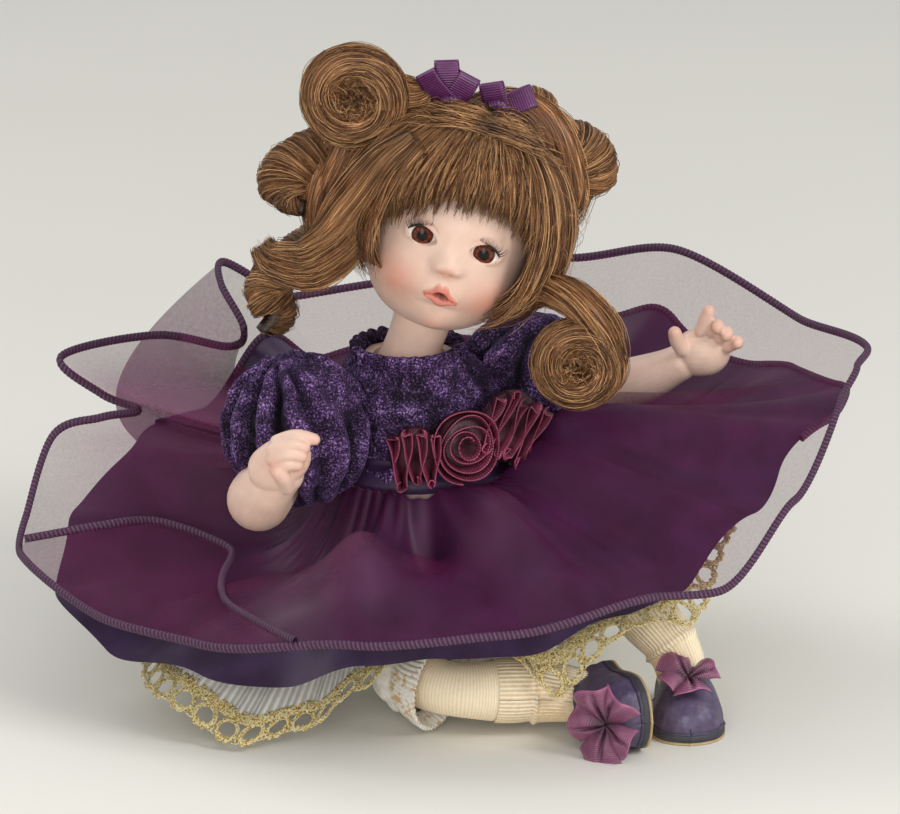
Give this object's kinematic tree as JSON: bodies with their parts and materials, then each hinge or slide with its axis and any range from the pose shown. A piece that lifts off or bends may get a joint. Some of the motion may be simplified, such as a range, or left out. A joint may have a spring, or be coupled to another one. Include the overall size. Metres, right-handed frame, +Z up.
{
  "type": "seated porcelain baby doll",
  "caption": "Seated strung porcelain baby doll with turning head, swinging arms and legs, ringlet wig, velvet bodice with satin roses and wide layered party skirt.",
  "frame": {"origin": "centre of the flat seat on the floor", "axes": "the body faces -Y, +X to the doll's left, +Z up"},
  "size_m": [0.1669, 0.1465, 0.1322],
  "materials": {
    "bisque": "matt bisque porcelain with painted blush",
    "elastic": "cotton covered elastic cord",
    "wire": "plain drawn wire",
    "cotton": "white cotton",
    "eye_glass": "glossy glass eye with a reddish brown iris",
    "hair": "glossy chestnut wig fibre",
    "ribbon": "ribbed plum ribbon",
    "velvet": "dark violet crushed velvet",
    "satin": "violet satin",
    "rose_satin": "maroon plum satin ribbon",
    "organza": "sheer plum organza",
    "tulle": "pleated white tulle",
    "gold_lace": "metallic gold lace",
    "knit": "fine ribbed cream knit",
    "shoe": "violet grey imitation leather",
    "sole": "dark grey moulded sole",
    "bow_satin": "dusty mauve satin"
  },
  "bodies": {
    "torso": {"torso": "bisque", "arm_elastic": "elastic", "leg_elastic": "elastic", "body_elastic": "elastic", "bodice": "velvet", "back_placket": "velvet", "sash": "satin", "rose_right": "rose_satin", "rose_middle": "rose_satin", "rose_left": "rose_satin", "overskirt": "organza", "underskirt": "satin", "petticoat": "tulle", "lace_trim": "gold_lace", "pantaloon_seat": "cotton"},
    "neck_hook": {"neck_hook": "wire"},
    "head": {"head": "bisque", "pate": "cotton", "eye_right": "eye_glass", "eye_left": "eye_glass", "wig_cap": "hair", "fringe": "hair", "cheek_lock": "hair", "bun": "hair", "curl_right_upper": "hair", "ringlet_right_lower": "hair", "curl_left_top": "hair", "ringlet_left_outer": "hair", "coil_left": "hair", "hair_bow_right": "ribbon", "hair_bow_left": "ribbon"},
    "arm_right": {"arm_right": "bisque", "arm_hook_right": "wire", "sleeve_right": "velvet"},
    "arm_left": {"arm_left": "bisque", "arm_hook_left": "wire", "sleeve_left": "velvet"},
    "leg_right": {"leg_right": "bisque", "leg_hook_right": "wire", "pantaloon_leg_right": "cotton", "stocking_right": "knit", "shoe_right": "shoe", "sole_right": "sole", "shoe_bow_right": "bow_satin"},
    "leg_left": {"leg_left": "bisque", "leg_hook_left": "wire", "pantaloon_leg_left": "cotton", "stocking_left": "knit", "shoe_left": "shoe", "sole_left": "sole", "shoe_bow_left": "bow_satin"}
  },
  "joints": [
    {"name": "head_lean", "type": "hinge", "parent": "torso", "child": "neck_hook", "pos_m": [-0.00831, 0, 0.0665], "axis": [0.454, 0.891, 0], "range_deg": [-18, 3]},
    {"name": "head_turn", "type": "hinge", "parent": "neck_hook", "child": "head", "pos_m": [-0.00831, 0, 0.0665], "axis": [0.26, -0.152, 0.9536], "range_deg": [-20, 20], "deforming": ["ringlet_right_lower"]},
    {"name": "shoulder_right", "type": "hinge", "parent": "torso", "child": "arm_right", "pos_m": [-0.026, 0.003, 0.056], "axis": [1, 0, 0], "range_deg": [-60, 10]},
    {"name": "shoulder_left", "type": "hinge", "parent": "torso", "child": "arm_left", "pos_m": [0.012, 0.003, 0.056], "axis": [1, 0, 0], "range_deg": [-60, 10]},
    {"name": "hip_right", "type": "hinge", "parent": "torso", "child": "leg_right", "pos_m": [-0.01213, -0.015, 0.013], "axis": [0, 0, 1], "range_deg": [-12, 2]},
    {"name": "hip_left", "type": "hinge", "parent": "torso", "child": "leg_left", "pos_m": [0.00887, -0.015, 0.013], "axis": [0, 0, 1], "range_deg": [-2, 12]}
  ]
}
